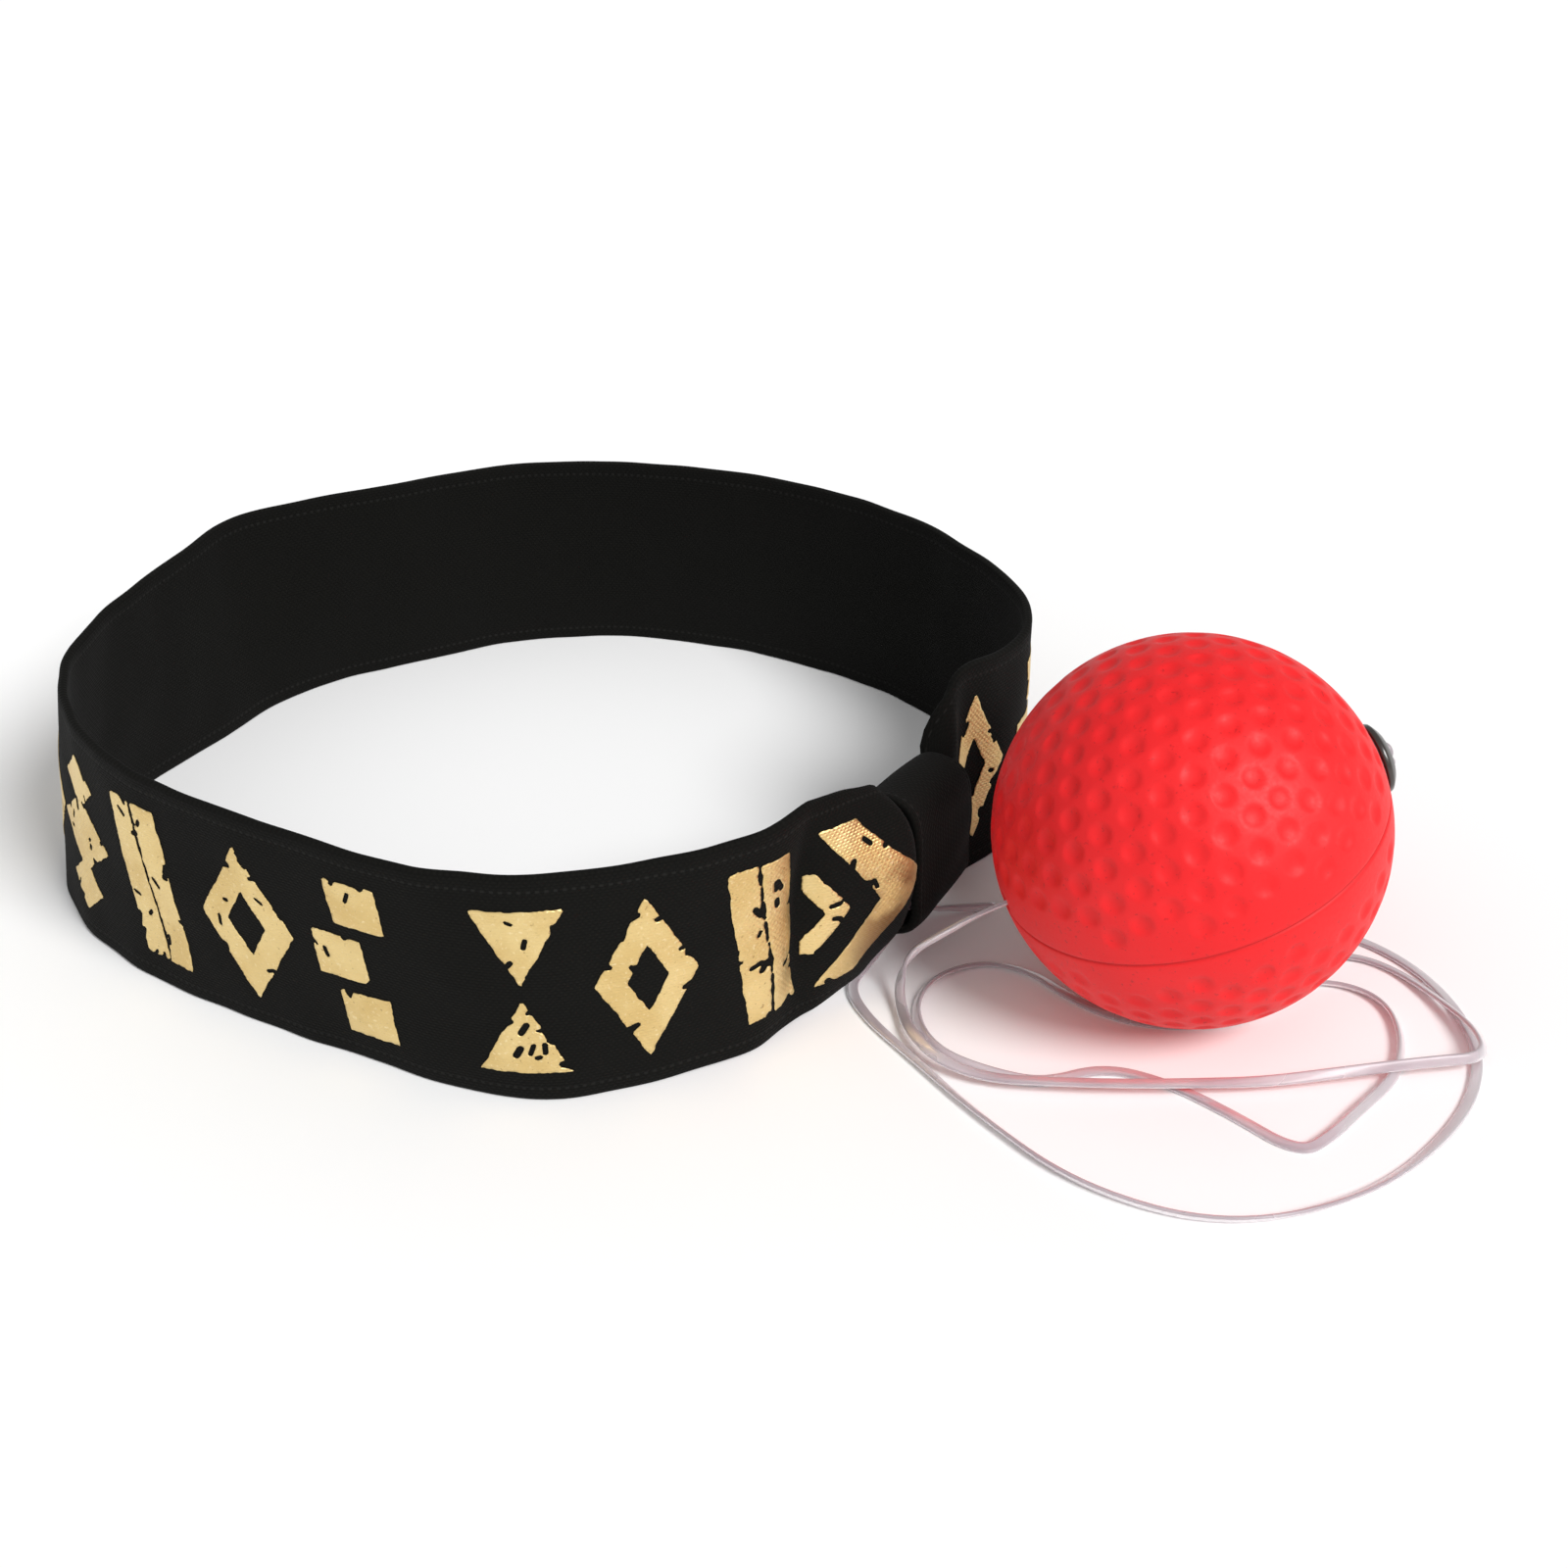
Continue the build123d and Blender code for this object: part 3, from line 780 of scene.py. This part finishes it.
def tube_curve(name, runs, radius, material, body):
    """Round tubes along smooth lines through the given points, as one curve object."""
    curve = bpy.data.curves.new(name, "CURVE")
    curve.dimensions = "3D"
    curve.bevel_depth = radius * MM
    curve.bevel_resolution = 3
    curve.use_fill_caps = True
    for points in runs:
        run = curve.splines.new("NURBS")
        run.points.add(len(points) - 1)
        for place, point in zip(run.points, points):
            place.co = (*(Vector(point) * MM), 1)
        run.order_u = 3
        run.use_endpoint_u = True
    piece = add_object(name, curve)
    curve.materials.append(material)
    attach(piece, body)
    return piece


def build_wrap_stitches(material):
    """Whip stitches that close the wrap's seam on its underside."""
    across_seam = [(-0.5, -4.3, 7.2), (-0.4, -3.2, 5.6), (0, 0.0, 5.35), (0.4, 3.2, 5.6), (0.5, 4.3, 7.2)]
    runs = []
    for along in (-8.4, -6.4, -4.4, 4.6, 6.6, 8.6):
        runs.append([waist_point(along + shift, outward, up) for shift, outward, up in across_seam])
    piece = tube_curve("wrap_whip_stitches", runs, 0.28, material, "headband")
    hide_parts("wrap_seam_stitches")


def build_waist_loop(material):
    """The cord's turn round the pinched strap inside the wrap, its two ends leading down to the knot."""
    side = [(0.9, 6.2), (1.5, 7.9), (3.5, 9.0), (3.65, 13.0), (3.65, 25.0), (2.9, 28.4), (0.0, 29.0)]
    turn = side + [(-outward, up) for outward, up in reversed(side[:-1])]
    run = [waist_point(0, outward, up) for outward, up in turn]
    piece = tube_curve("cord_turn_in_wrap", [run], 0.7, material, "headband")
    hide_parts("cord_waist_loop")


# ---------------- flat cord
def route(points):
    """The cord's smooth line: a NURBS spline with the points as its control points, read as a list."""
    curve = bpy.data.curves.new("route", "CURVE")
    curve.dimensions = "3D"
    curve.resolution_u = 10
    run = curve.splines.new("NURBS")
    run.points.add(len(points) - 1)
    for place, point in zip(run.points, points):
        place.co = (*point, 1)
    run.order_u = 3
    run.use_endpoint_u = True
    holder = bpy.data.objects.new("route", curve)
    mesh = bpy.data.meshes.new_from_object(holder)
    line = np.array([vertex.co for vertex in mesh.vertices])
    bpy.data.objects.remove(holder)
    bpy.data.curves.remove(curve)
    bpy.data.meshes.remove(mesh)
    keep = np.concatenate([[True], np.linalg.norm(np.diff(line, axis=0), axis=1) > 1e-4])
    return line[keep]


def cord_outline(sides):
    """The flat cord's section with its rounded edges, as (across its width, through its thickness)."""
    squareness = 0.62
    outline = []
    for i in range(sides):
        turn = 2 * math.pi * (i + 0.5) / sides
        across, through = math.cos(turn), math.sin(turn)
        wide = math.copysign(abs(across) ** squareness, across) * cord_width / 2
        thick = math.copysign(abs(through) ** squareness, through) * cord_thickness / 2
        outline.append((wide, thick))
    return outline


def ribbon(name, points, twist, material):
    """A flat cord along the route, lying on the floor where the route is at floor_z.

    The twist is a list of (share of the length, degrees from lying flat). Returns the piece, its middle
    line and its length."""
    line = route(points)
    lengths = distances_along(line)
    shares = lengths / lengths[-1]
    tangents = normalized(np.gradient(line, axis=0))
    sideways = np.cross(tangents, np.array((0, 0, 1.0)))
    spread = 2.5
    weights = np.exp(-(((lengths[:, None] - lengths[None, :]) / spread) ** 2))
    sideways = normalized(weights @ sideways)
    sideways = normalized(sideways - (sideways * tangents).sum(1, keepdims=True) * tangents)
    upward = np.cross(sideways, tangents)
    angle = np.radians(spline([share for share, _ in twist], [[turn] for _, turn in twist], shares)[:, 0])
    wide = sideways * np.cos(angle)[:, None] + upward * np.sin(angle)[:, None]
    thin = upward * np.cos(angle)[:, None] - sideways * np.sin(angle)[:, None]
    reach = np.sqrt((wide[:, 2] * cord_width / 2) ** 2 + (thin[:, 2] * cord_thickness / 2) ** 2)
    line[:, 2] = np.maximum(line[:, 2] - floor_z + reach, reach)
    sides = 20
    outline = cord_outline(sides)
    rings = [line[i] + wide[i] * across + thin[i] * up for i in range(len(line)) for across, up in outline]
    faces = [(a, d, c, b) for a, b, c, d in ring_faces(len(line), sides)]
    faces.append(tuple(range(sides))[::-1])
    faces.append(tuple((len(line) - 1) * sides + j for j in range(sides)))
    piece = mesh_piece(name, rings, faces, material)
    # painted shade weight: 0 across the cord's middle, rising to 1 at its two edges
    edge = [min(1.0, max(0.0, abs(across) / (cord_width / 2) * 2.2 - 1.2)) ** 2 for across, _ in outline]
    add_attribute(piece, "edge", np.tile(edge, len(line)))
    return piece, line, lengths[-1]


def knot_lump(name, centre, axis, radius, strand, rise, body, material):
    """A tied knot pulled tight: a trefoil turn of cord about the axis."""
    axis = Vector(axis).normalized()
    side = axis.cross(UP).normalized()
    other = axis.cross(side)
    scale = (radius - strand) / 3
    points = []
    turns = 24
    for i in range(turns + 1):
        t = 2 * math.pi * i / turns
        a = (math.sin(t) + 2 * math.sin(2 * t)) * scale
        b = (math.cos(t) - 2 * math.cos(2 * t)) * scale
        c = -math.sin(3 * t) * rise
        points.append(Vector(centre) + side * a + other * b + axis * c)
    piece = tube_curve(name, [points], strand, material, body)
    return piece


def build_cord(material):
    """The flat cord's free run and cut tail, and the knot under the wrap that both leave."""
    twist = [
        (0.0, 0), (0.03, 0), (0.08, 40), (0.14, 62), (0.19, 40), (0.24, 8), (0.30, -12), (0.35, 30),
        (0.40, 55), (0.46, 20), (0.50, 0), (0.54, 35), (0.58, 55), (0.62, 20), (0.66, -20), (0.70, 8),
        (0.75, 30), (0.80, 60), (0.84, 20), (0.88, 0), (0.92, 15), (0.96, 40), (1.0, 40),
    ]
    cord, line, length = ribbon("cord_ribbon", cord_points, twist, material)
    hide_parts("cord_free_run")
    tail, _, _ = ribbon("cord_cut_tail", tail_points, [(0, 20), (0.5, 60), (1, 80)], material)
    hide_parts("cord_tail")
    low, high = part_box("cord_anchor_knot")
    knot = knot_lump(
        "cord_overhand_knot", (low + high) / 2 / MM, waist_axis, 2.3, 0.78, 0.65, "headband", material
    )
    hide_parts("cord_anchor_knot")


# ---------------- ball
parting_normal = Vector((-0.344, -0.043, 0.938)).normalized()
lattice_pole = Vector((0.242, -0.723, 0.647)).normalized()
dimple_radius = 1.8
dimple_depth = 0.5
dimple_rim = 0.35
smooth_band = 4.4
parting_width = 0.22
parting_depth = 0.28
bore_clear = 4.0
mouth_depth = 0.7
mouth_reach = 1.4


def dimple_lattice():
    """Evenly spread directions: an icosahedron's faces divided seven ways, one corner at the pole."""
    golden = (1 + math.sqrt(5)) / 2
    corners = []
    for a in (-1, 1):
        for b in (-golden, golden):
            corners += [(0, a, b), (a, b, 0), (b, 0, a)]
    corners = [Vector(corner).normalized() for corner in corners]
    turn = corners[0].rotation_difference(lattice_pole)
    corners = [turn @ corner for corner in corners]
    edge = min((corners[0] - corner).length for corner in corners[1:]) * 1.01
    near = [[j for j in range(12) if j != i and (corners[i] - corners[j]).length < edge] for i in range(12)]
    division = 7
    found = []
    for i in range(12):
        for j in near[i]:
            for k in near[j]:
                if i < j < k and k in near[i]:
                    for p in range(division + 1):
                        for q in range(division + 1 - p):
                            r = division - p - q
                            spot = corners[i] * p + corners[j] * q + corners[k] * r
                            found.append(tuple(round(value, 5) for value in spot.normalized()))
    spots = np.array(sorted(set(found)))
    for _ in range(60):
        apart = spots[:, None] - spots[None, :]
        distance = np.linalg.norm(apart, axis=2) + np.eye(len(spots))
        push = (apart / distance[:, :, None] ** 5).sum(axis=1)
        spots = normalized(spots + 6e-6 * push)
    return spots


def build_ball(material):
    """A dimpled foam ball with a parting line and a bore, made from a cube's faces swelled to a sphere."""
    pole = np.array(parting_normal)
    front = np.array(bore_axis) - pole * np.dot(bore_axis, pole)
    front /= np.linalg.norm(front)
    side = np.cross(pole, front)
    divisions = 92
    marks = [-1 + 2 * i / divisions for i in range(divisions + 1)]
    marks += [-0.012, -0.006, 0.006, 0.012]
    marks = np.tan(np.array(sorted(marks)) * math.pi / 4)
    index, directions, faces = {}, [], []

    def vertex(spot):
        key = tuple(round(value, 6) for value in spot)
        if key not in index:
            index[key] = len(directions)
            directions.append(spot)
        return index[key]

    for axis in range(3):
        for sign in (-1.0, 1.0):
            grid = []
            for a in marks:
                row = []
                for b in marks:
                    spot = [0.0, 0.0, 0.0]
                    spot[axis], spot[(axis + 1) % 3], spot[(axis + 2) % 3] = sign, a, b
                    row.append(vertex(spot))
                grid.append(row)
            for i in range(len(marks) - 1):
                for j in range(len(marks) - 1):
                    face = (grid[i][j], grid[i + 1][j], grid[i + 1][j + 1], grid[i][j + 1])
                    faces.append(face if sign > 0 else face[::-1])
    local = normalized(np.array(directions))
    world = local[:, :1] * front + local[:, 1:2] * side + local[:, 2:] * pole
    height = local[:, 2] * ball_radius
    axis_distance = np.linalg.norm(np.cross(world, np.array(bore_axis)), axis=1) * ball_radius
    lattice = dimple_lattice()
    flat_enough = np.abs(lattice @ pole) * ball_radius > smooth_band
    off_bore = np.linalg.norm(np.cross(lattice, np.array(bore_axis)), axis=1) * ball_radius > bore_clear
    lattice = lattice[flat_enough & off_bore]
    closest = (world @ lattice.T).max(axis=1)
    away = np.arccos(np.clip(closest, -1, 1)) * ball_radius
    dip = dimple_depth * np.clip(1 - (away / dimple_radius) ** 2, 0, 1) ** 0.75
    dip = dip * np.clip((dimple_radius - away) / dimple_rim, 0, 1) ** 0.6
    groove = np.exp(-((height / parting_width) ** 2))
    mouth = mouth_depth * np.clip(1 - (axis_distance - bore_radius) / mouth_reach, 0, 1) ** 2
    radius = ball_radius - dip - parting_depth * groove - mouth
    centre = np.array(ball_centre)
    piece = mesh_piece("dimpled_ball", centre + world * radius[:, None], faces, material, "ball")
    # painted shade: the groove's weight also darkens the foam's colour along the parting line
    add_attribute(piece, "groove", groove * 0.6)
    cut_bore(piece)
    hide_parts("foam_ball")


def cut_bore(ball):
    """Cuts the cord's bore right through the ball."""
    bpy.ops.mesh.primitive_cylinder_add(
        vertices=24, radius=bore_radius * MM, depth=(2 * ball_radius + 6) * MM, location=ball_centre * MM
    )
    drill = bpy.context.object
    drill.rotation_euler = bore_axis.to_track_quat("Z", "Y").to_euler()
    bpy.context.view_layer.update()
    cut = ball.modifiers.new("bore", "BOOLEAN")
    cut.operation = "DIFFERENCE"
    cut.solver = "EXACT"
    cut.object = drill
    bpy.context.view_layer.update()
    graph = bpy.context.evaluated_depsgraph_get()
    bored = bpy.data.meshes.new_from_object(ball.evaluated_get(graph))
    ball.modifiers.clear()
    ball.data = bored
    bored.polygons.foreach_set("use_smooth", [True] * len(bored.polygons))
    bpy.data.objects.remove(drill)


# ---------------- stopper
def lathe(name, profile, material, body):
    """A piece turned about the bore axis: the profile is (radius, distance from the ball's centre)."""
    side = bore_axis.cross(UP).normalized()
    other = bore_axis.cross(side)
    steps = 64
    vertices = []
    for i in range(steps):
        turn = 2 * math.pi * i / steps
        away = side * math.cos(turn) + other * math.sin(turn)
        vertices += [ball_centre + away * radius + bore_axis * height for radius, height in profile]
    piece = mesh_piece(name, vertices, ring_faces(steps, len(profile), closed=True), material, body)
    face_outward(piece)
    return piece


def build_stopper(material):
    """A domed disc seated on the ball, with a rounded rim and a pocket for the cord's end knot."""
    seat = ball_radius + 0.3
    rim = 5.6
    profile = []
    for i in range(9):
        radius = bore_radius + (rim - 0.3 - bore_radius) * i / 8
        profile.append((radius, math.sqrt(seat**2 - radius**2)))
    rim_low = math.sqrt(seat**2 - rim**2)
    profile += [(rim - 0.08, rim_low + 0.1), (rim, rim_low + 0.35), (rim, rim_low + 0.75)]
    shoulder = rim - 0.12
    shoulder_height = rim_low + 1.0
    profile.append((shoulder, shoulder_height))
    dome_top = ball_radius + 2.05
    pocket = 2.5
    for i in range(1, 9):
        share = i / 8
        radius = shoulder + (pocket + 0.3 - shoulder) * share
        height = shoulder_height + (dome_top - shoulder_height) * math.sin(share * math.pi / 2)
        profile.append((radius, height))
    profile += [(pocket + 0.08, dome_top - 0.08), (pocket, dome_top - 0.3), (pocket, seat + 1.1)]
    profile += [(pocket - 0.2, seat + 0.9), (bore_radius + 0.2, seat + 0.9), (bore_radius, seat + 0.75)]
    piece = lathe("domed_stopper", profile, material, "stopper")
    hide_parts("stopper_disc")


def build_end_knot(material):
    """The knot that sits in the stopper's pocket and keeps the cord in."""
    seated = ball_centre + bore_axis * (ball_radius + 2.15)
    knot = knot_lump("cord_stop_knot", seated, bore_axis, 2.2, 0.6, 0.25, "cord_end", material)
    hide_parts("cord_end_knot")


# ---------------- floor, light and camera
def add_sun(name, direction, spread, strength):
    """A distant softbox: a light from that direction, spread over that many degrees."""
    data = bpy.data.lights.new(name, "SUN")
    data.angle = math.radians(spread)
    data.energy = strength
    add_object(name, data).rotation_euler = Vector(direction).to_track_quat("Z", "Y").to_euler()


def build_studio():
    """A wide floor, an even world and two soft suns."""
    half = 12.0
    mesh = bpy.data.meshes.new("floor")
    corners = [(-half, -half, 0), (half, -half, 0), (half, half, 0), (-half, half, 0)]
    mesh.from_pydata(corners, [], [(0, 1, 2, 3)])
    floor = add_object("floor", mesh)
    floor.data.materials.append(floor_material())
    world = bpy.data.worlds.new("studio")
    world.use_nodes = True
    background = world.node_tree.nodes["Background"]
    background.inputs["Color"].default_value = (1, 1, 1, 1)
    background.inputs["Strength"].default_value = 0.42
    bpy.context.scene.world = world
    add_sun("key", (0.5, -0.5, 0.66), 24, 2.7)
    add_sun("fill", (-0.6, -0.5, 0.6), 60, 0.35)
    bpy.context.scene.view_settings.view_transform = "Standard"


def build_camera():
    """A camera in front of the object, looking down on it."""
    data = bpy.data.cameras.new("camera")
    data.lens = 50
    data.sensor_width = 36
    camera = add_object("camera", data)
    camera.location = (0.0135, -0.32735, 0.213)
    camera.rotation_euler = (math.radians(90 - 31.7), 0, 0)
    bpy.context.scene.camera = camera


# ---------------- assembly
build_camera()
elastic = cord_material()
build_cord(elastic)
webbing = webbing_material("black_webbing", strap_height * MM, 0.0024)
build_strap(webbing)
build_print(foil_material())
build_wrap(webbing_material("black_wrap_webbing", wrap_width * MM, 0.0016))
thread = thread_material()
build_wrap_stitches(thread)
build_ball(ball_material())
build_stopper(stopper_material())
build_end_knot(elastic)
build_waist_loop(elastic)
for node, material in (("lap_seam_stitches", thread), ("cord_in_ball", elastic)):
    shown = frame["nodes"][node]
    shown.data.materials.clear()
    shown.data.materials.append(material)
build_studio()
